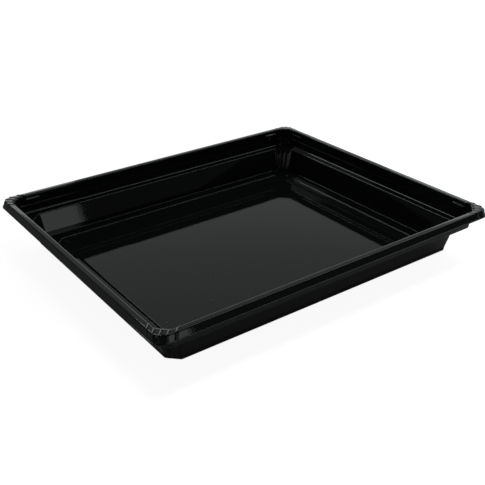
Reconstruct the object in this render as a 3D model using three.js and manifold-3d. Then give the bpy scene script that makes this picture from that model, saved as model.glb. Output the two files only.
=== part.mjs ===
// Sushi tray: a shallow two-step food tray, formed from one thin sheet of black plastic.
// Millimetres, +Z up. The origin is the centre of the base, on the level that the tray stands on.
// The sheet's section is drawn once, from the trimmed lip to the floor panel, and swept round the plan.
import * as THREE from 'three';
import { mergeVertices } from 'three/addons/utils/BufferGeometryUtils.js';
import Module from 'manifold-3d';

const wasm = await Module();
wasm.setup();

// Driving dimensions
const LENGTH = 265.6;          // over the lip, along X
const WIDTH = 225;             // over the lip, along Y
const HEIGHT = 33.8;           // from the base to the top of the rim
const SHEET = 0.6;             // thickness of the formed sheet

// Lip, skirt and rim
const LIP_REACH = 1.8;         // the trimmed lip stands out this far past the skirt
const SKIRT_DROP = 4.8;        // from the rim's top down to the lip
const SKIRT_DRAFT = 0.2;       // the skirt leans in this much towards the rim
const RIM_WIDTH = 4.6;         // from the skirt's head to the inner wall's head
const RIM_ROUND = 1.3;         // rounding of both edges of the rim
const LIP_CORNER_RADIUS = 9;   // plan radius at the lip's corners

// Upper wall
const CREASE_DROP = 7.5;       // a faint crease runs round the upper wall, this far below the rim
const CREASE_STEP = 0.3;
const UPPER_DRAFT = 0.5;       // lean of the wall above the crease, and again below it
const LEDGE_DROP = 13.3;       // from the rim's top to the ledge
const LEDGE_WIDTH = 5.2;
const LEDGE_FALL = 0.6;        // the ledge falls a little towards the middle
const LEDGE_ROUND = 1.1;

// Lower wall, foot ledge and floor
const LOWER_DROP = 28.0;       // the sloping wall ends here, and a short upright band follows
const LOWER_DRAFT = 4.6;
const BAND_HEIGHT = 3.3;
const BAND_DRAFT = 0.3;
const FOOT_LEDGE_WIDTH = 8.4;  // a second ledge runs round the floor, just above it
const FOOT_LEDGE_FALL = 0.2;
const FOOT_ROUND = 0.4;
const BEVEL_WIDTH = 4.8;       // the slope from that ledge down to the floor panel
const FLOOR_MARGIN = 3;        // width of the floor's first ring, inside the slope

// Corners: distance from the lip's square corner to the 45 degree facet, at each level
const RIM_FACET = 14;
const LEDGE_FACET = 26;
const LOWER_FACET = 29.9;
const FOOT_FACET = 42.4;
const FLOOR_FACET = 49.5;
const EDGE_ROUND = 1.8;        // plan rounding of the facet's two upright edges
const FLOOR_ROUND = 4;

// Ridges across the rim at each corner, all parallel to the corner's diagonal
const RIDGE_COUNT = 5;
const RIDGE_PITCH = 4.1;
const RIDGE_WIDTH = 1.4;
const RIDGE_HEIGHT = 0.4;

// Flutes down the facet of the lower wall
const FLUTE_COUNT = 3;
const FLUTE_DEPTH = 0.7;

// Lid lugs: one T-shaped bump on each wall beside each corner
const LUG_FROM_CORNER = 17.5;  // from the lip's square corner to the near end of the bar
const LUG_LENGTH = 11;
const LUG_BAR = 2.2;           // height of the T's bar
const LUG_DROP = 2.6;          // from the rim's top to the bar
const LUG_STEM = 3.4;          // width of the T's stem
const LUG_PROUD = 1.1;         // how far the lug stands out of the wall
const LUG_SKIN = 0.5;          // the lug is hollow behind, with a skin this thick
const LUG_BEVEL = 0.3;

const ROUND_STEP = THREE.MathUtils.degToRad(32);
const HALF_TURN = Math.tan(Math.PI / 8);
const ROOT2 = Math.SQRT2;

// One point of the section: inset from the lip, height, and the corner's facet and rounding there
function station(inset, z, facet, round, extra = {}) {
  return { inset, z, facet, round, bend: 0, ridge: 0, flute: 0, ...extra };
}

// A corner whose facet is a single arc of the given radius
function arcFacet(inset, radius) {
  return inset * ROOT2 + radius * HALF_TURN;
}

// The top face of the sheet, from the lip's edge over the rim and down to the floor panel
function sectionCorners() {
  const skirtFoot = LIP_REACH;
  const skirtHead = skirtFoot + SKIRT_DRAFT;
  const lipZ = HEIGHT - SKIRT_DROP;
  const lipRadius = LIP_CORNER_RADIUS;
  const footRadius = lipRadius - skirtFoot;
  const headRadius = lipRadius - skirtHead;
  const wallHead = skirtHead + RIM_WIDTH;
  const creaseHead = wallHead + UPPER_DRAFT;
  const creaseFoot = creaseHead + CREASE_STEP;
  const creaseZ = HEIGHT - CREASE_DROP;
  const wallFoot = creaseFoot + UPPER_DRAFT;
  const ledgeEnd = wallFoot + LEDGE_WIDTH;
  const ledgeZ = HEIGHT - LEDGE_DROP;
  const lowerEnd = ledgeEnd + LOWER_DRAFT;
  const lowerZ = HEIGHT - LOWER_DROP;
  const bandEnd = lowerEnd + BAND_DRAFT;
  const bandZ = lowerZ - BAND_HEIGHT;
  const footEnd = bandEnd + FOOT_LEDGE_WIDTH;
  const floorStart = footEnd + BEVEL_WIDTH;
  const floorRing = floorStart + FLOOR_MARGIN;
  const facetAt = (inset) => RIM_FACET + inset - wallHead;
  const lowerFacetAt = (inset) => LOWER_FACET + inset - lowerEnd;
  return [
    station(0, lipZ, arcFacet(0, lipRadius), lipRadius),
    station(skirtFoot, lipZ, arcFacet(skirtFoot, footRadius), footRadius, { bend: 0.4 }),
    station(skirtHead, HEIGHT, arcFacet(skirtHead, headRadius), headRadius, { bend: RIM_ROUND, ridge: 1 }),
    station(wallHead, HEIGHT, RIM_FACET, EDGE_ROUND, { bend: RIM_ROUND, ridge: 1 }),
    station(creaseHead, creaseZ, facetAt(creaseHead), EDGE_ROUND),
    station(creaseFoot, creaseZ - CREASE_STEP, facetAt(creaseFoot), EDGE_ROUND),
    station(wallFoot, ledgeZ, facetAt(wallFoot), EDGE_ROUND, { bend: LEDGE_ROUND }),
    station(ledgeEnd, ledgeZ - LEDGE_FALL, LEDGE_FACET, EDGE_ROUND, { bend: LEDGE_ROUND }),
    station(ledgeEnd + LOWER_DRAFT / 4, ledgeZ - LEDGE_FALL - (ledgeZ - LEDGE_FALL - lowerZ) / 4,
      LEDGE_FACET + (LOWER_FACET - LEDGE_FACET) / 4, EDGE_ROUND, { flute: 1 }),
    station(lowerEnd, lowerZ, LOWER_FACET, EDGE_ROUND, { flute: 1 }),
    station(bandEnd, bandZ, lowerFacetAt(bandEnd), EDGE_ROUND, { bend: FOOT_ROUND }),
    station(footEnd, bandZ - FOOT_LEDGE_FALL, FOOT_FACET, EDGE_ROUND, { bend: LEDGE_ROUND }),
    station(floorStart, SHEET, FLOOR_FACET, FLOOR_ROUND),
    station(floorRing, SHEET, FLOOR_FACET + FLOOR_MARGIN, FLOOR_ROUND),
  ];
}

function blend(a, b, t) {
  const mixed = {};
  for (const key of Object.keys(a)) mixed[key] = a[key] + (b[key] - a[key]) * t;
  return mixed;
}

// Round each corner of the section that has a bend radius, with a few stations round the bend
function roundedSection(corners) {
  const result = [corners[0]];
  for (let i = 1; i < corners.length - 1; i++) {
    const here = corners[i];
    if (here.bend === 0) {
      result.push(here);
      continue;
    }
    const before = corners[i - 1];
    const after = corners[i + 1];
    const inAngle = Math.atan2(here.z - before.z, here.inset - before.inset);
    const outAngle = Math.atan2(after.z - here.z, after.inset - here.inset);
    const turn = Math.abs(Math.atan2(Math.sin(outAngle - inAngle), Math.cos(outAngle - inAngle)));
    const reach = here.bend * Math.tan(turn / 2);
    const inLength = Math.hypot(here.inset - before.inset, here.z - before.z);
    const outLength = Math.hypot(after.inset - here.inset, after.z - here.z);
    const start = blend(here, before, reach / inLength);
    const end = blend(here, after, reach / outLength);
    const steps = Math.max(2, Math.ceil(turn / ROUND_STEP));
    for (let k = 0; k <= steps; k++) {
      const t = k / steps;
      result.push(blend(blend(start, here, t), blend(here, end, t), t));
    }
  }
  result.push(corners[corners.length - 1]);
  return result;
}

// Unit normals of the section, on the sheet's top side
function addNormals(section) {
  section.forEach((here, i) => {
    const before = section[Math.max(i - 1, 0)];
    const after = section[Math.min(i + 1, section.length - 1)];
    const a = new THREE.Vector2(here.inset - before.inset, here.z - before.z);
    const b = new THREE.Vector2(after.inset - here.inset, after.z - here.z);
    if (a.lengthSq() === 0) a.copy(b);
    if (b.lengthSq() === 0) b.copy(a);
    a.normalize();
    b.normalize();
    const middle = a.clone().add(b).normalize();
    here.normal = new THREE.Vector2(-middle.y, middle.x);
    here.miter = 1 / Math.sqrt((1 + a.dot(b)) / 2);
  });
}

// The underside runs parallel to the top face, one sheet thickness below it
function underside(section) {
  return section.map((here) => {
    const shift = -here.normal.x * SHEET * here.miter;
    return {
      ...here,
      inset: here.inset + shift,
      facet: here.facet + shift,
      round: here.round - shift,
      z: here.z - here.normal.y * SHEET * here.miter,
    };
  });
}

// Half width of the facet, and where its rounding starts and ends, measured across the diagonal
function facetSpan(ring) {
  const meet = ring.facet - ring.inset * ROOT2;
  const round = Math.min(Math.max(ring.round, 0), meet / HALF_TURN);
  const reach = round * HALF_TURN;
  return { round, start: meet - reach, end: meet + reach / ROOT2 };
}

// Distance from the square corner, along its diagonal, of the outline at distance w across it
function outlineDepth(ring, w) {
  const { round, start, end } = facetSpan(ring);
  const across = Math.abs(w);
  if (across <= start) return ring.facet;
  if (across >= end) return across + ring.inset * ROOT2;
  return ring.facet + round - Math.sqrt(round * round - (across - start) ** 2);
}

function ridgeCentres() {
  return Array.from({ length: RIDGE_COUNT }, (_, i) => (i - (RIDGE_COUNT - 1) / 2) * RIDGE_PITCH);
}

function ridgeWave(w) {
  const nearest = Math.min(...ridgeCentres().map((centre) => Math.abs(w - centre)));
  return nearest < RIDGE_WIDTH / 2 ? Math.cos(nearest / RIDGE_WIDTH * Math.PI) : 0;
}

function fluteWave(ring, w) {
  const { start } = facetSpan(ring);
  if (Math.abs(w) >= start) return 0;
  return (1 - Math.cos((w / start + 1) * Math.PI * FLUTE_COUNT)) / 2;
}

// Where the points of a ring lie across each corner: close together over ridges and flutes
function ringSpots(ring) {
  const { start, end } = facetSpan(ring);
  if (ring.ridge > 0) {
    const spots = ridgeCentres().flatMap((centre) => [-0.5, -0.25, 0, 0.25, 0.5].map(
      (part) => centre + part * RIDGE_WIDTH));
    const outer = Math.max(end, RIDGE_COUNT * RIDGE_PITCH / 2) + RIDGE_WIDTH;
    return [-outer, ...spots, outer];
  }
  const middle = start + (end - start) * 0.55;
  if (ring.flute > 0) {
    const steps = FLUTE_COUNT * 4;
    const inner = Array.from({ length: steps + 1 }, (_, i) => start * (2 * i / steps - 1));
    return [-end, -middle, ...inner, middle, end];
  }
  if (ring.round > LIP_CORNER_RADIUS / 2) {
    const steps = 8;
    return Array.from({ length: steps + 1 }, (_, i) => end * Math.sin(Math.PI * (i / steps - 0.5)));
  }
  return [-end, -middle, -start, start, middle, end];
}

// The points of one ring, counter-clockwise from above, with a running place for stitching
function ringPoints(ring) {
  const spots = ringSpots(ring);
  const corners = [[1, 1], [-1, 1], [-1, -1], [1, -1]];
  return corners.flatMap(([sideX, sideY], corner) => {
    const turned = sideX * sideY;
    return spots.map((spot) => {
      const w = spot * turned;
      const lift = RIDGE_HEIGHT * ring.ridge * ridgeWave(w) - FLUTE_DEPTH * ring.flute * fluteWave(ring, w);
      const shift = ring.normal.x * lift;
      const moved = { ...ring, inset: ring.inset + shift, facet: ring.facet + shift, round: ring.round - shift };
      const depth = outlineDepth(moved, w);
      return {
        place: corner * LENGTH + spot,
        x: sideX * (LENGTH / 2 - (depth + w) / ROOT2),
        y: sideY * (WIDTH / 2 - (depth - w) / ROOT2),
        z: ring.z + ring.normal.y * lift,
      };
    });
  });
}

// A closed mesh made of rings that are stitched one to the next
class RingMesh {
  constructor() {
    this.positions = [];
    this.triangles = [];
  }

  addRing(points) {
    const first = this.positions.length / 3;
    for (const point of points) this.positions.push(point.x, point.y, point.z);
    return points.map((point, i) => ({ place: point.place, index: first + i }));
  }

  // Stitch two rings that may have different numbers of points, always taking the nearer next point
  stitch(outer, inner) {
    let i = 0;
    let j = 0;
    const placeAt = (ring, k) => (k < ring.length ? ring[k].place : Infinity);
    while (i < outer.length || j < inner.length) {
      const a = outer[i % outer.length].index;
      const b = inner[j % inner.length].index;
      const outerIsNearer = placeAt(outer, i + 1) <= placeAt(inner, j + 1);
      const stepOuter = j >= inner.length || (i < outer.length && outerIsNearer);
      if (stepOuter) {
        i += 1;
        this.triangles.push(a, outer[i % outer.length].index, b);
      } else {
        j += 1;
        this.triangles.push(a, inner[j % inner.length].index, b);
      }
    }
  }

  // Close a ring with a fan to the middle of the tray
  cap(ring, z, up) {
    const centre = this.positions.length / 3;
    this.positions.push(0, 0, z);
    ring.forEach((point, i) => {
      const next = ring[(i + 1) % ring.length];
      if (up) this.triangles.push(point.index, next.index, centre);
      else this.triangles.push(next.index, point.index, centre);
    });
  }

  toGeometry() {
    const geometry = new THREE.BufferGeometry();
    geometry.setAttribute('position', new THREE.Float32BufferAttribute(this.positions, 3));
    geometry.setIndex(this.triangles);
    return geometry;
  }
}

function sheetGeometry() {
  const top = roundedSection(sectionCorners());
  addNormals(top);
  const under = underside(top);
  const mesh = new RingMesh();
  const topRings = top.map((ring) => mesh.addRing(ringPoints(ring)));
  const underRings = under.map((ring) => mesh.addRing(ringPoints(ring)));
  for (let i = 1; i < topRings.length; i++) {
    mesh.stitch(topRings[i - 1], topRings[i]);
    mesh.stitch(underRings[i], underRings[i - 1]);
  }
  mesh.stitch(underRings[0], topRings[0]);
  mesh.cap(topRings[topRings.length - 1], top[top.length - 1].z, true);
  mesh.cap(underRings[underRings.length - 1], under[under.length - 1].z, false);
  return mesh.toGeometry();
}

function toSolid(geometry) {
  const bare = new THREE.BufferGeometry();
  bare.setAttribute('position', geometry.getAttribute('position'));
  if (geometry.index) bare.setIndex(geometry.index);
  const merged = mergeVertices(bare, 1e-4);
  return new wasm.Manifold(new wasm.Mesh({
    numProp: 3,
    vertProperties: new Float32Array(merged.getAttribute('position').array),
    triVerts: new Uint32Array(merged.index.array),
  }));
}

function toGeometry(solid) {
  const mesh = solid.getMesh();
  const geometry = new THREE.BufferGeometry();
  geometry.setAttribute('position', new THREE.Float32BufferAttribute(mesh.vertProperties, 3));
  geometry.setIndex(new THREE.Uint32BufferAttribute(mesh.triVerts, 1));
  geometry.computeVertexNormals();
  return geometry;
}

// The outline of a T, centred across, with its bar's top edge at zero, made smaller by a margin
function teeShape(margin) {
  const half = LUG_LENGTH / 2 - margin;
  const stem = LUG_STEM / 2 - margin;
  const low = -(CREASE_DROP - LUG_DROP) + margin;
  const bar = -LUG_BAR + margin;
  const shape = new THREE.Shape();
  shape.moveTo(-half, -margin);
  shape.lineTo(-half, bar);
  shape.lineTo(-stem, bar);
  shape.lineTo(-stem, low);
  shape.lineTo(stem, low);
  shape.lineTo(stem, bar);
  shape.lineTo(half, bar);
  shape.lineTo(half, -margin);
  shape.closePath();
  return shape;
}

// A T-shaped block that stands out of the wall along +Z of its own frame
function teeBlock(margin, depth, bevel) {
  const geometry = new THREE.ExtrudeGeometry(teeShape(margin + bevel), {
    depth: depth - bevel,
    bevelEnabled: bevel > 0,
    bevelThickness: bevel,
    bevelSize: bevel,
    bevelSegments: 1,
  });
  return geometry;
}

// Places of the eight lugs: on each wall, one beside each end
function lugPlaces() {
  const along = LUG_FROM_CORNER + LUG_LENGTH / 2;
  const wall = LIP_REACH + SKIRT_DRAFT + RIM_WIDTH + UPPER_DRAFT * (LUG_DROP + LUG_BAR / 2) / CREASE_DROP;
  const places = [];
  for (const end of [-1, 1]) {
    places.push({ x: end * (LENGTH / 2 - along), y: WIDTH / 2 - wall, turn: Math.PI });
    places.push({ x: end * (LENGTH / 2 - along), y: -(WIDTH / 2 - wall), turn: 0 });
    places.push({ x: LENGTH / 2 - wall, y: end * (WIDTH / 2 - along), turn: Math.PI / 2 });
    places.push({ x: -(LENGTH / 2 - wall), y: end * (WIDTH / 2 - along), turn: -Math.PI / 2 });
  }
  return places;
}

// Turn a block's own frame so that its depth points into the tray, and set it on the wall
function setOnWall(geometry, place, sink) {
  const move = new THREE.Matrix4().makeTranslation(place.x, place.y, HEIGHT - LUG_DROP);
  const face = new THREE.Matrix4().makeRotationZ(place.turn);
  const stand = new THREE.Matrix4().makeRotationX(Math.PI / 2);
  const back = new THREE.Matrix4().makeTranslation(0, 0, sink);
  const flip = new THREE.Matrix4().makeRotationZ(Math.PI);
  return geometry.clone().applyMatrix4(move.multiply(face).multiply(flip).multiply(stand).multiply(back));
}

function formedTray() {
  const lugBack = -SHEET / 2;
  const raised = teeBlock(0, LUG_PROUD - lugBack, LUG_BEVEL);
  const hollow = teeBlock(LUG_SKIN, LUG_PROUD - LUG_SKIN + SHEET * 3, 0);
  let solid = toSolid(sheetGeometry());
  for (const place of lugPlaces()) {
    solid = solid.add(toSolid(setOnWall(raised, place, lugBack)));
    solid = solid.subtract(toSolid(setOnWall(hollow, place, -SHEET * 3)));
  }
  return toGeometry(solid);
}

const blackPlastic = new THREE.MeshStandardMaterial({ color: 0x0c0d0d, roughness: 0.12, metalness: 0 });
const tray = new THREE.Mesh(formedTray(), blackPlastic);
tray.name = 'tray';

const sushiTray = new THREE.Group();
sushiTray.add(tray);

export default sushiTray;
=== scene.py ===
"""Looks of the sushi tray: one thin sheet of glossy black plastic, formed with a stepped wall,
a ridged rim and a foot ledge, photographed on white."""
import math

import bpy
import numpy as np
from mathutils import Matrix, Vector


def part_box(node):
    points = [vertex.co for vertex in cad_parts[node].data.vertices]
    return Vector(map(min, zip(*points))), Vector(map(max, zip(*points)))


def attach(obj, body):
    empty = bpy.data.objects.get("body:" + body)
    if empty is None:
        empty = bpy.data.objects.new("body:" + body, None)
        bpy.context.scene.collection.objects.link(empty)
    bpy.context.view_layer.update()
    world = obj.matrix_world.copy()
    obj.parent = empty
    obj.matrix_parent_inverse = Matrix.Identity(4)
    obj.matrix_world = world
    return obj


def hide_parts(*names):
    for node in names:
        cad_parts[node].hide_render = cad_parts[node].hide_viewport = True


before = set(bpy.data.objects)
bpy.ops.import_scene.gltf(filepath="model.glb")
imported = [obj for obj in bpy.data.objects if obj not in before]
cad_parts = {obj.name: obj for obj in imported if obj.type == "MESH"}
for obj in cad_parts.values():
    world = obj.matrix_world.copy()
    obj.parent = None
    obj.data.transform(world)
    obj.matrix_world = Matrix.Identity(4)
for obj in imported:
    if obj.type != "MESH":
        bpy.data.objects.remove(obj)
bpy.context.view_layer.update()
tray_low, tray_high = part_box("tray")

MM = 0.001
LENGTH = (tray_high[0] - tray_low[0]) / MM
WIDTH = (tray_high[1] - tray_low[1]) / MM
HEIGHT = (tray_high[2] - tray_low[2]) / MM
SHEET = 0.6

# Section of the sheet, in millimetres: the solid's own, but closer to the photograph at the lip,
# the rim and the foot
RIDGE_HEIGHT = 0.4
RIM_TOP = HEIGHT - RIDGE_HEIGHT
LIP_REACH = 0.5
SKIRT_DROP = 4.1
SKIRT_DRAFT = 1.5
RIM_WIDTH = 4.1
RIM_ROUND = 1.2
LIP_CORNER_RADIUS = 9.0
LIP_ROUND = 0.4
CREASE_DROP = 7.5
CREASE_STEP = 0.3
CREASE_HEAD_ROUND = 0.5
CREASE_FOOT_ROUND = 0.4
UPPER_DRAFT = 0.75
LEDGE_DROP = 13.3
LEDGE_WIDTH = 5.2
LEDGE_FALL = 0.6
LEDGE_ROUND = 1.1
LOWER_DROP = 28.0
LOWER_DRAFT = 4.6
LOWER_ROUND = 1.5
BAND_HEIGHT = 3.3
BAND_DRAFT = 0.3
FOOT_LEDGE_WIDTH = 8.4
FOOT_LEDGE_FALL = 0.1
FOOT_STEP = 0.5
FOOT_ROUND = 0.4
STEP_HEAD_ROUND = 0.5
STEP_FOOT_ROUND = 0.4
BROW_WIDTH = 3.1
BROW_ROUND = 0.6
BEVEL_WIDTH = 3.0
FLOOR_MARGIN = 3.0
FLOOR_BLEND = 1.2
FLOOR_CROWN = 0.15
RIM_FACET = 13.5
LEDGE_FACET = 26.0
LOWER_FACET = 29.9
FOOT_FACET = 42.4
FLOOR_FACET = 49.5
EDGE_ROUND = 1.8
FLOOR_ROUND = 4.0
RIDGE_COUNT = 5
RIDGE_PITCH = 4.1
RIDGE_WIDTH = 1.7
FLUTE_COUNT = 3
FLUTE_DEPTH = 0.7
LUG_FROM_CORNER = 17.5
LUG_LENGTH = 11.0
LUG_BAR = 2.2
LUG_DROP = 2.6
LUG_STEM = 3.4
LUG_PROUD = 1.1
LUG_FADE = 0.7
LUG_STEM_SHARE = 0.8
LUG_SUNK = 0.06
LUG_OVERLAP = 0.3
LUG_MARGIN = 0.3
LUG_MARGIN_ABOVE = 0.2
LUG_MARGIN_BELOW = 0.5
LUG_COLUMNS = 73
LUG_ROWS = 41

ROOT2 = math.sqrt(2)
HALF_TURN = math.tan(math.pi / 8)
CORNER_POINTS = 81
BEND_STEPS = 5
FLOOR_RINGS = 12
LONG_STRETCH = 2.5
STRETCH_ROWS = 4
STRAIGHT_BELOW = 1e-3

# Columns of a station of the section
INSET, Z, FACET, ROUND, RIDGE, FLUTE = range(6)


def arc_facet(inset, radius):
    """Facet distance of a corner that is one arc of the given radius."""
    return inset * ROOT2 + radius * HALF_TURN


def section_corners():
    """The top face of the sheet from the lip to the floor panel: stations and their bend radii."""
    skirt_foot = LIP_REACH
    skirt_head = skirt_foot + SKIRT_DRAFT
    lip_z = RIM_TOP - SKIRT_DROP
    wall_head = skirt_head + RIM_WIDTH
    crease_head = wall_head + UPPER_DRAFT
    crease_foot = crease_head + CREASE_STEP
    crease_z = RIM_TOP - CREASE_DROP
    crease_low = crease_z - CREASE_STEP
    wall_foot = crease_foot + UPPER_DRAFT
    ledge_end = wall_foot + LEDGE_WIDTH
    ledge_z = RIM_TOP - LEDGE_DROP
    ledge_low = ledge_z - LEDGE_FALL
    lower_end = ledge_end + LOWER_DRAFT
    lower_z = RIM_TOP - LOWER_DROP
    band_end = lower_end + BAND_DRAFT
    band_z = lower_z - BAND_HEIGHT
    foot_end = band_end + FOOT_LEDGE_WIDTH
    foot_low = band_z - FOOT_LEDGE_FALL
    step_end = foot_end + FOOT_STEP
    step_z = foot_low - FOOT_STEP
    step_facet = FOOT_FACET + FOOT_STEP
    brow_end = step_end + BROW_WIDTH
    floor_start = brow_end + BEVEL_WIDTH
    floor_ring = floor_start + FLOOR_MARGIN
    lip_radius = LIP_CORNER_RADIUS
    foot_radius = lip_radius - skirt_foot
    head_radius = lip_radius - skirt_head

    def wall_facet(inset):
        return RIM_FACET + inset - wall_head

    def low_facet(inset):
        return LOWER_FACET + inset - lower_end

    quarter_z = ledge_low - (ledge_low - lower_z) / 4
    quarter_facet = LEDGE_FACET + (LOWER_FACET - LEDGE_FACET) / 4
    return [
        ((0, lip_z, arc_facet(0, lip_radius), lip_radius, 0, 0), 0),
        ((skirt_foot, lip_z, arc_facet(skirt_foot, foot_radius), foot_radius, 0, 0), LIP_ROUND),
        ((skirt_head, RIM_TOP, arc_facet(skirt_head, head_radius), head_radius, 1, 0), RIM_ROUND),
        ((wall_head, RIM_TOP, RIM_FACET, EDGE_ROUND, 1, 0), RIM_ROUND),
        ((crease_head, crease_z, wall_facet(crease_head), EDGE_ROUND, 0, 0), CREASE_HEAD_ROUND),
        ((crease_foot, crease_low, wall_facet(crease_foot), EDGE_ROUND, 0, 0), CREASE_FOOT_ROUND),
        ((wall_foot, ledge_z, wall_facet(wall_foot), EDGE_ROUND, 0, 0), LEDGE_ROUND),
        ((ledge_end, ledge_low, LEDGE_FACET, EDGE_ROUND, 0, 0), LEDGE_ROUND),
        ((ledge_end + LOWER_DRAFT / 4, quarter_z, quarter_facet, EDGE_ROUND, 0, 1), 0),
        ((lower_end, lower_z, LOWER_FACET, EDGE_ROUND, 0, 1), LOWER_ROUND),
        ((band_end, band_z, low_facet(band_end), EDGE_ROUND, 0, 0), FOOT_ROUND),
        ((foot_end, foot_low, FOOT_FACET, EDGE_ROUND, 0, 0), STEP_HEAD_ROUND),
        ((step_end, step_z, step_facet, EDGE_ROUND, 0, 0), STEP_FOOT_ROUND),
        ((brow_end, step_z, step_facet + BROW_WIDTH, EDGE_ROUND, 0, 0), BROW_ROUND),
        ((floor_start, SHEET, FLOOR_FACET, FLOOR_ROUND, 0, 0), FLOOR_BLEND),
        ((floor_ring, SHEET, FLOOR_FACET + FLOOR_MARGIN, FLOOR_ROUND, 0, 0), 0),
    ]


def unit(v):
    """The vector v at length 1."""
    return v / np.linalg.norm(v)


def rounded_section():
    """Stations with every bend rounded, and the unit tangent of the section at each."""
    corners = [(np.array(values, float), bend) for values, bend in section_corners()]
    points = [corners[0][0]]
    tangents = [unit(corners[1][0][:2] - corners[0][0][:2])]
    for i in range(1, len(corners) - 1):
        here, bend = corners[i]
        before, after = corners[i - 1][0], corners[i + 1][0]
        into = unit(here[:2] - before[:2])
        out = unit(after[:2] - here[:2])
        turn = math.acos(np.clip(into @ out, -1, 1))
        if bend == 0 or turn < STRAIGHT_BELOW:
            points.append(here)
            tangents.append(unit(into + out))
            continue
        reach = bend * math.tan(turn / 2)
        start = here + (before - here) * reach / np.linalg.norm(here[:2] - before[:2])
        end = here + (after - here) * reach / np.linalg.norm(after[:2] - here[:2])
        for t in np.linspace(0, 1, BEND_STEPS + 1):
            points.append((1 - t) ** 2 * start + 2 * t * (1 - t) * here + t ** 2 * end)
            tangents.append(unit((1 - t) * (here - start)[:2] + t * (end - here)[:2]))
    points.append(corners[-1][0])
    tangents.append(unit(corners[-1][0][:2] - corners[-2][0][:2]))
    return np.array(points), np.array(tangents)


def add_wall_rows(points, tangents):
    """Extra rows on the long straight stretches, so that flutes and ridges fade smoothly."""
    rows, turned = [points[0]], [tangents[0]]
    for i in range(1, len(points)):
        gap = np.linalg.norm(points[i][:2] - points[i - 1][:2])
        if gap > LONG_STRETCH and points[i][Z] < RIM_TOP - LEDGE_DROP:
            for k in range(1, STRETCH_ROWS):
                t = k / STRETCH_ROWS
                rows.append(points[i - 1] * (1 - t) + points[i] * t)
                turned.append(unit(tangents[i - 1] * (1 - t) + tangents[i] * t))
        rows.append(points[i])
        turned.append(tangents[i])
    return np.array(rows), np.array(turned)


def facet_span(ring):
    """Distances across the corner where a ring's flat facet ends and where its rounding ends."""
    meet = ring[FACET] - ring[INSET] * ROOT2
    rounding = min(max(ring[ROUND], 0), meet / HALF_TURN)
    reach = rounding * HALF_TURN
    return meet - reach, meet + reach / ROOT2


def outline_depth(inset, facet, rounding, w):
    """Distance from the square corner, along its diagonal, at distance w across it."""
    meet = facet - inset * ROOT2
    rounding = np.minimum(np.maximum(rounding, 0), meet / HALF_TURN)
    start = meet - rounding * HALF_TURN
    end = meet + rounding * HALF_TURN / ROOT2
    across = np.abs(w)
    inside = np.clip(rounding ** 2 - (across - start) ** 2, 0, None)
    arc = facet + rounding - np.sqrt(inside)
    return np.where(across <= start, facet, np.where(across >= end, across + inset * ROOT2, arc))


def ridge_wave(w):
    """Height of the rim's ridges, from 0 to 1, at distance w across the corner."""
    centres = (np.arange(RIDGE_COUNT) - (RIDGE_COUNT - 1) / 2) * RIDGE_PITCH
    nearest = np.abs(w[:, None] - centres[None, :]).min(axis=1)
    return np.where(nearest < RIDGE_WIDTH / 2, np.cos(nearest / RIDGE_WIDTH * math.pi) ** 2, 0)


def flute_wave(start, w):
    """Depth of the upright flutes, from 0 to 1, over a facet that ends at start."""
    if start <= 0:
        return np.zeros_like(w)
    wave = (1 - np.cos((w / start + 1) * math.pi * FLUTE_COUNT)) / 2
    return np.where(np.abs(w) < start, wave, 0)


def ring_spots(ring):
    """Places of a ring's points across the corner: even over ridges, closer over the two arcs."""
    start, end = facet_span(ring)
    if ring[RIDGE] > 0 or ring[ROUND] > LIP_CORNER_RADIUS / 2:
        outer = max(end, RIDGE_COUNT * RIDGE_PITCH / 2) + RIDGE_WIDTH
        return np.linspace(-outer, outer, CORNER_POINTS)
    side = (CORNER_POINTS - 1) // 4
    arc = start + (end - start) * np.linspace(0, 1, side + 1)[1:]
    middle = np.linspace(-start, start, CORNER_POINTS - 2 * side)
    return np.concatenate([-arc[::-1], middle, arc])


def ring_points(ring, tangent, under):
    """The points of one ring, counter-clockwise from above; under puts it on the sheet's lower face."""
    normal = np.array([-tangent[1], tangent[0]])
    spots = ring_spots(ring)
    start, _ = facet_span(ring)
    points = []
    for side_x, side_y in ((1, 1), (-1, 1), (-1, -1), (1, -1)):
        w = spots * side_x * side_y
        lift = RIDGE_HEIGHT * ring[RIDGE] * ridge_wave(w)
        lift -= FLUTE_DEPTH * ring[FLUTE] * flute_wave(start, w)
        lift -= SHEET if under else 0
        shift = normal[0] * lift
        depth = outline_depth(ring[INSET] + shift, ring[FACET] + shift, ring[ROUND] - shift, w)
        x = side_x * (LENGTH / 2 - (depth + w) / ROOT2)
        y = side_y * (WIDTH / 2 - (depth - w) / ROOT2)
        points.append(np.stack([x, y, ring[Z] + normal[1] * lift], axis=1))
    return np.concatenate(points)


def crown(part):
    """Rise of the floor over its edge, where part is 1 at the edge and 0 in the middle."""
    return FLOOR_CROWN * (1 - part ** 2) ** 2


def floor_rings(edge):
    """Rings that carry the floor in to its middle, over a slight crown."""
    rings = []
    for k in range(1, FLOOR_RINGS):
        part = 1 - k / FLOOR_RINGS
        ring = edge.copy()
        ring[:, :2] *= part
        ring[:, 2] += crown(part)
        rings.append(ring)
    return rings


def skin(under):
    """All rings of one face of the sheet, from the lip to near the floor's middle."""
    points, tangents = add_wall_rows(*rounded_section())
    rings = [ring_points(p, t, under) for p, t in zip(points, tangents)]
    return rings + floor_rings(rings[-1])


def stitched(rings, flip):
    """Quads between rings of equal length, closed by a fan in the middle."""
    count = len(rings[0])
    quads = []
    for i in range(len(rings) - 1):
        a, b = i * count, (i + 1) * count
        for j in range(count):
            k = (j + 1) % count
            quads.append((a + j, a + k, b + k, b + j))
    centre = len(rings) * count
    last = (len(rings) - 1) * count
    quads += [(last + j, last + (j + 1) % count, centre) for j in range(count)]
    return [tuple(reversed(q)) for q in quads] if flip else quads


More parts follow.
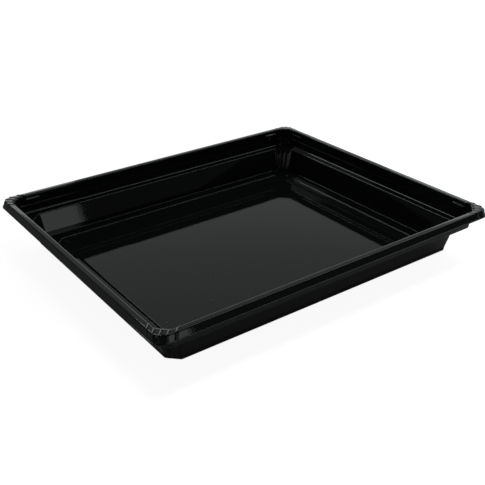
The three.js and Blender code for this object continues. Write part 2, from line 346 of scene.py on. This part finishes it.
def lug_mask(a, b):
    """Height of the T-shaped lug, from 0 to 1, at a along the wall and b below the bar's top."""
    def fade(distance):
        t = np.clip(distance / LUG_FADE, 0, 1)
        return t * t * (3 - 2 * t)

    bar = fade(LUG_LENGTH / 2 - np.abs(a)) * fade(b) * fade(LUG_BAR - b)
    stem_foot = CREASE_DROP - LUG_DROP + LUG_OVERLAP
    stem = fade(LUG_STEM / 2 - np.abs(a)) * fade(b) * fade(stem_foot - b)
    return np.maximum(bar, LUG_STEM_SHARE * stem)


def lug_patch(place_x, place_y, along, inward):
    """A small formed patch on the wall, sunk just behind it except where the lug stands out."""
    half = LUG_LENGTH / 2 + LUG_MARGIN
    a = np.linspace(-half, half, LUG_COLUMNS)
    b = np.linspace(-LUG_MARGIN_ABOVE, CREASE_DROP - LUG_DROP + LUG_MARGIN_BELOW, LUG_ROWS)
    grid_a, grid_b = np.meshgrid(a, b)
    proud = (LUG_PROUD + LUG_SUNK) * lug_mask(grid_a, grid_b) - LUG_SUNK
    lean = UPPER_DRAFT * (grid_b + LUG_DROP) / CREASE_DROP
    out = proud + lean
    x = place_x + along[0] * grid_a + inward[0] * out
    y = place_y + along[1] * grid_a + inward[1] * out
    z = RIM_TOP - LUG_DROP - grid_b
    points = np.stack([x, y, z], axis=-1).reshape(-1, 3)
    rows, columns = grid_a.shape
    faces = []
    for i in range(rows - 1):
        for j in range(columns - 1):
            k = i * columns + j
            faces.append((k, k + columns, k + columns + 1, k + 1))
    return points, faces


def lug_patches():
    wall = LIP_REACH + SKIRT_DRAFT + RIM_WIDTH
    reach = LUG_FROM_CORNER + LUG_LENGTH / 2
    for end in (-1, 1):
        for side in (-1, 1):
            yield lug_patch(end * (LENGTH / 2 - reach), side * (WIDTH / 2 - wall), (side, 0), (0, -side))
            yield lug_patch(side * (LENGTH / 2 - wall), end * (WIDTH / 2 - reach), (0, -side), (-side, 0))


def tray_piece(material):
    """The whole formed sheet: top face, underside, trimmed edge and lugs, in one mesh."""
    points, faces = [], []

    def add(new_points, new_faces):
        """Joins a patch to the mesh and gives the number of its first point."""
        first = sum(len(p) for p in points)
        points.append(new_points)
        faces.extend(tuple(first + v for v in face) for face in new_faces)
        return first

    firsts = []
    for under in (False, True):
        rings = skin(under)
        centre = rings[-1].mean(axis=0)
        centre[2] = rings[-1][0][2]
        firsts.append(add(np.concatenate(rings + [centre[None, :]]), stitched(rings, under)))
    count = 4 * CORNER_POINTS
    top, low = firsts
    for j in range(count):
        k = (j + 1) % count
        faces.append((low + j, low + k, top + k, top + j))
    for patch in lug_patches():
        add(*patch)
    mesh = bpy.data.meshes.new("formed_tray")
    mesh.from_pydata((np.concatenate(points) * MM).tolist(), [], faces)
    mesh.polygons.foreach_set("use_smooth", [True] * len(mesh.polygons))
    mesh.materials.append(material)
    piece = bpy.data.objects.new("formed_tray", mesh)
    bpy.context.collection.objects.link(piece)
    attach(piece, "root")
    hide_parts("tray")
    keep_flat_faces_flat(piece)


def keep_flat_faces_flat(piece):
    """Normals that follow the large faces, so that rounded edges don't shade the flats."""
    weighted = piece.modifiers.new("flat faces", "WEIGHTED_NORMAL")
    weighted.mode = "FACE_AREA"
    weighted.weight = 80
    weighted.keep_sharp = True


def new_material(name):
    material = bpy.data.materials.new(name)
    material.use_nodes = True
    return material, material.node_tree.nodes, material.node_tree.links


def black_plastic():
    """Deep black polished plastic, with the faint ripple and haze of a formed sheet."""
    material, nodes, links = new_material("black_plastic")
    shader = nodes["Principled BSDF"]
    shader.inputs["Base Color"].default_value = (0.0100, 0.0122, 0.0112, 1)
    shader.inputs["IOR"].default_value = 1.5
    place = nodes.new("ShaderNodeTexCoord")
    haze = nodes.new("ShaderNodeTexNoise")
    haze.inputs["Scale"].default_value = 55
    haze.inputs["Detail"].default_value = 5
    links.new(place.outputs["Object"], haze.inputs["Vector"])
    spread = nodes.new("ShaderNodeMapRange")
    spread.inputs["To Min"].default_value = 0.015
    spread.inputs["To Max"].default_value = 0.04
    links.new(haze.outputs["Fac"], spread.inputs["Value"])
    links.new(spread.outputs["Result"], shader.inputs["Roughness"])
    grain = nodes.new("ShaderNodeTexNoise")
    grain.inputs["Scale"].default_value = 900
    grain.inputs["Detail"].default_value = 2
    links.new(place.outputs["Object"], grain.inputs["Vector"])
    ripple = nodes.new("ShaderNodeTexNoise")
    ripple.inputs["Scale"].default_value = 24
    ripple.inputs["Detail"].default_value = 1
    links.new(place.outputs["Object"], ripple.inputs["Vector"])
    fine = nodes.new("ShaderNodeBump")
    fine.inputs["Strength"].default_value = 0.04
    fine.inputs["Distance"].default_value = 0.0002
    links.new(grain.outputs["Fac"], fine.inputs["Height"])
    broad = nodes.new("ShaderNodeBump")
    broad.inputs["Strength"].default_value = 0.05
    broad.inputs["Distance"].default_value = 0.0004
    links.new(ripple.outputs["Fac"], broad.inputs["Height"])
    links.new(fine.outputs["Normal"], broad.inputs["Normal"])
    links.new(broad.outputs["Normal"], shader.inputs["Normal"])
    return material


# Dust grains on the floor panel: place in millimetres from the tray's middle, and size
DUST = (
    (-59.0, -51.0, 0.85),
    (-36.6, -60.9, 0.65),
    (-94.7, -55.9, 0.70),
    (-68.1, -32.8, 0.45),
    (-43.5, -17.7, 0.42),
    (-42.9, -26.6, 0.42),
    (-54.2, -61.5, 0.45),
    (-1.9, -51.6, 0.45),
)
GRAIN_COLUMNS = 10
GRAIN_ROWS = 5
GRAIN_UNEVEN = 0.25
GRAIN_HALF_HEIGHT = 0.35


def dust_grains():
    """A few pale grains of dust that lie on the floor panel."""
    material, nodes, _ = new_material("pale_dust")
    shader = nodes["Principled BSDF"]
    shader.inputs["Base Color"].default_value = (0.85, 0.85, 0.80, 1)
    shader.inputs["Roughness"].default_value = 0.9
    random = np.random.default_rng(7)
    points, faces = [], []
    for x, y, size in DUST:
        first = len(points)
        level = SHEET + crown(max(abs(x) / (LENGTH / 2), abs(y) / (WIDTH / 2)))
        for i in range(GRAIN_ROWS + 1):
            for j in range(GRAIN_COLUMNS):
                turn = 2 * math.pi * j / GRAIN_COLUMNS
                rise = math.pi * i / GRAIN_ROWS
                uneven = 1 + GRAIN_UNEVEN * (random.random() - 0.5)
                radius = size / 2 * math.sin(rise) * uneven
                height = level + size * GRAIN_HALF_HEIGHT * (1 - math.cos(rise))
                points.append((x + radius * math.cos(turn), y + radius * math.sin(turn), height))
        for i in range(GRAIN_ROWS):
            for j in range(GRAIN_COLUMNS):
                k = (j + 1) % GRAIN_COLUMNS
                a = first + i * GRAIN_COLUMNS
                b = a + GRAIN_COLUMNS
                faces.append((a + j, a + k, b + k, b + j))
    mesh = bpy.data.meshes.new("dust_grains")
    mesh.from_pydata((np.array(points) * MM).tolist(), [], faces)
    mesh.polygons.foreach_set("use_smooth", [True] * len(mesh.polygons))
    mesh.materials.append(material)
    piece = bpy.data.objects.new("dust_grains", mesh)
    bpy.context.collection.objects.link(piece)
    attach(piece, "root")


# The photograph's camera, found from the tray's straight edges
CAMERA_PLACE = (-0.2890, -0.4093, 0.2293)
CAMERA_TURN = 35.44
CAMERA_PITCH = 27.43
CAMERA_ROLL = -0.84
FOCAL_PIXELS = 783.6
PHOTO_PIXELS = 485

# The light of the room, a little green as in the photograph
COOL_WHITE = (0.94, 1.0, 0.975)


def place_camera():
    """CAMERA_PLACE is measured from the middle of the tray, at the level of the rim."""
    turn, pitch, roll = (math.radians(a) for a in (CAMERA_TURN, CAMERA_PITCH, CAMERA_ROLL))
    ahead = Vector((math.sin(turn) * math.cos(pitch), math.cos(turn) * math.cos(pitch), -math.sin(pitch)))
    right = Vector((math.cos(turn), -math.sin(turn), 0))
    up = right.cross(ahead)
    tilted_right = math.cos(roll) * right + math.sin(roll) * up
    tilted_up = math.cos(roll) * up - math.sin(roll) * right
    data = bpy.data.cameras.new("camera")
    data.sensor_width = 36
    data.lens = data.sensor_width * FOCAL_PIXELS / PHOTO_PIXELS
    data.clip_start = 0.01
    camera = bpy.data.objects.new("camera", data)
    bpy.context.collection.objects.link(camera)
    turned = Matrix((tilted_right, tilted_up, -ahead)).transposed().to_4x4()
    rim_level = Vector((0, 0, RIM_TOP * MM))
    camera.matrix_world = Matrix.Translation(Vector(CAMERA_PLACE) + rim_level) @ turned
    bpy.context.scene.camera = camera


# The floor lies this far below the tray, in metres, so that their faces never meet
FLOOR_GAP = 0.0002


def white_floor():
    """A pale floor that shows white to the camera and keeps a soft contact shadow; for reflections its
    colour carries painted light, paler at the front right.
    """
    material, nodes, links = new_material("white_floor")
    nodes.remove(nodes["Principled BSDF"])
    output = nodes["Material Output"]
    matte = nodes.new("ShaderNodeBsdfDiffuse")
    # Painted light in the floor's colour: paler at the front right than at the back left, standing in for
    # how the light falls on the floor that the tray's walls mirror
    place = nodes.new("ShaderNodeTexCoord")
    across = nodes.new("ShaderNodeVectorMath")
    across.operation = "DOT_PRODUCT"
    across.inputs[1].default_value = (-0.55, 0.83, 0)
    links.new(place.outputs["Object"], across.inputs[0])
    pale = grey_ramp(nodes, [(0.0, 0.85), (0.45, 0.80), (0.60, 0.40), (1.0, 0.30)])
    spread = nodes.new("ShaderNodeMapRange")
    spread.inputs["From Min"].default_value = -0.5
    spread.inputs["From Max"].default_value = 0.5
    links.new(across.outputs["Value"], spread.inputs["Value"])
    links.new(spread.outputs["Result"], pale.inputs["Fac"])
    links.new(pale.outputs["Color"], matte.inputs["Color"])
    glow = nodes.new("ShaderNodeEmission")
    path = nodes.new("ShaderNodeLightPath")
    strength = nodes.new("ShaderNodeMapRange")
    strength.inputs["To Min"].default_value = 0.035
    strength.inputs["To Max"].default_value = 0.93
    links.new(path.outputs["Is Camera Ray"], strength.inputs["Value"])
    links.new(strength.outputs["Result"], glow.inputs["Strength"])
    both = nodes.new("ShaderNodeAddShader")
    links.new(matte.outputs["BSDF"], both.inputs[0])
    links.new(glow.outputs["Emission"], both.inputs[1])
    links.new(both.outputs["Shader"], output.inputs["Surface"])
    half = 3.0
    mesh = bpy.data.meshes.new("floor")
    square = [(-half, -half, 0), (half, -half, 0), (half, half, 0), (-half, half, 0)]
    mesh.from_pydata(square, [], [(0, 1, 2, 3)])
    mesh.materials.append(material)
    floor = bpy.data.objects.new("floor", mesh)
    floor.location.z = -FLOOR_GAP
    bpy.context.collection.objects.link(floor)


def grey_ramp(nodes, stops):
    """A colour ramp of greys, from pairs of position and brightness."""
    node = nodes.new("ShaderNodeValToRGB")
    elements = node.color_ramp.elements
    elements[0].position, elements[0].color = stops[0][0], (*[stops[0][1]] * 3, 1)
    elements[1].position, elements[1].color = stops[-1][0], (*[stops[-1][1]] * 3, 1)
    for position, value in stops[1:-1]:
        element = elements.new(position)
        element.color = (value, value, value, 1)
    return node


def studio_world():
    """White to the camera; for light and reflections, a pale sweep low down and a dim room above."""
    world = bpy.data.worlds.new("studio")
    bpy.context.scene.world = world
    world.use_nodes = True
    nodes, links = world.node_tree.nodes, world.node_tree.links
    room = nodes["Background"]
    output = nodes["World Output"]
    place = nodes.new("ShaderNodeTexCoord")
    split = nodes.new("ShaderNodeSeparateXYZ")
    links.new(place.outputs["Generated"], split.inputs["Vector"])
    # Height of the direction above the horizon as a sine, against brightness
    height = grey_ramp(nodes, [(0.0, 0.95), (0.34, 0.95), (0.375, 0.42), (0.40, 0.36), (0.47, 0.30),
                               (0.56, 0.28), (0.64, 0.20), (0.76, 0.04), (1.0, 0.04)])
    links.new(split.outputs["Z"], height.inputs["Fac"])
    # Towards the camera's side the room is dark
    view_turn = math.radians(CAMERA_TURN)
    facing = nodes.new("ShaderNodeVectorMath")
    facing.operation = "DOT_PRODUCT"
    facing.inputs[1].default_value = (math.sin(view_turn), math.cos(view_turn), 0)
    links.new(place.outputs["Generated"], facing.inputs[0])
    ahead = grey_ramp(nodes, [(0.55, 0.05), (0.80, 0.15), (0.88, 0.90), (0.91, 1.0)])
    half = nodes.new("ShaderNodeMath")
    half.operation = "MULTIPLY_ADD"
    half.inputs[1].default_value = 0.5
    half.inputs[2].default_value = 0.5
    links.new(facing.outputs["Value"], half.inputs[0])
    links.new(half.outputs["Value"], ahead.inputs["Fac"])
    mix = nodes.new("ShaderNodeMix")
    mix.data_type = "RGBA"
    mix.blend_type = "MULTIPLY"
    mix.inputs["Factor"].default_value = 1
    links.new(height.outputs["Color"], mix.inputs["A"])
    links.new(ahead.outputs["Color"], mix.inputs["B"])
    tint = nodes.new("ShaderNodeMix")
    tint.data_type = "RGBA"
    tint.blend_type = "MULTIPLY"
    tint.inputs["Factor"].default_value = 1
    tint.inputs["B"].default_value = (*COOL_WHITE, 1)
    links.new(mix.outputs["Result"], tint.inputs["A"])
    links.new(tint.outputs["Result"], room.inputs["Color"])
    white = nodes.new("ShaderNodeBackground")
    white.inputs["Color"].default_value = (1, 1, 1, 1)
    path = nodes.new("ShaderNodeLightPath")
    choose = nodes.new("ShaderNodeMixShader")
    links.new(path.outputs["Is Camera Ray"], choose.inputs["Fac"])
    links.new(room.outputs["Background"], choose.inputs[1])
    links.new(white.outputs["Background"], choose.inputs[2])
    links.new(choose.outputs["Shader"], output.inputs["Surface"])


def soft_box(name, place, target, width, height, power):
    """A lamp aimed at target, with its width level; sizes in metres and power in watts."""
    data = bpy.data.lights.new(name, "AREA")
    data.shape = "RECTANGLE"
    data.size = width
    data.size_y = height
    data.energy = power
    data.color = COOL_WHITE
    lamp = bpy.data.objects.new(name, data)
    bpy.context.collection.objects.link(lamp)
    lamp.location = place
    lamp.rotation_mode = "QUATERNION"
    lamp.rotation_quaternion = (Vector(target) - Vector(place)).to_track_quat("-Z", "Y")


def lights():
    middle = (0, 0, 0.02)
    soft_box("overhead", (0.70, 0.03, 1.35), middle, 0.35, 1.3, 3.2)
    soft_box("far overhead", (0.08, 0.99, 1.25), middle, 0.35, 0.45, 2.0)
    soft_box("window", (0.38, -1.35, 0.24), (-0.1, 0.1, 0.02), 0.17, 0.5, 0.22)
    soft_box("side window", (-1.45, -0.25, 0.42), middle, 0.2, 0.5, 0.5)
    soft_box("back", (-0.38, 1.20, 0.97), middle, 0.35, 0.35, 0.16)
    soft_box("left panel", (0.32, 1.38, 0.53), middle, 0.24, 0.22, 0.14)
    soft_box("right panel", (1.16, 0.79, 0.56), middle, 0.24, 0.22, 0.14)


tray_piece(black_plastic())
dust_grains()
place_camera()
white_floor()
studio_world()
lights()
bpy.context.scene.view_settings.view_transform = "Standard"
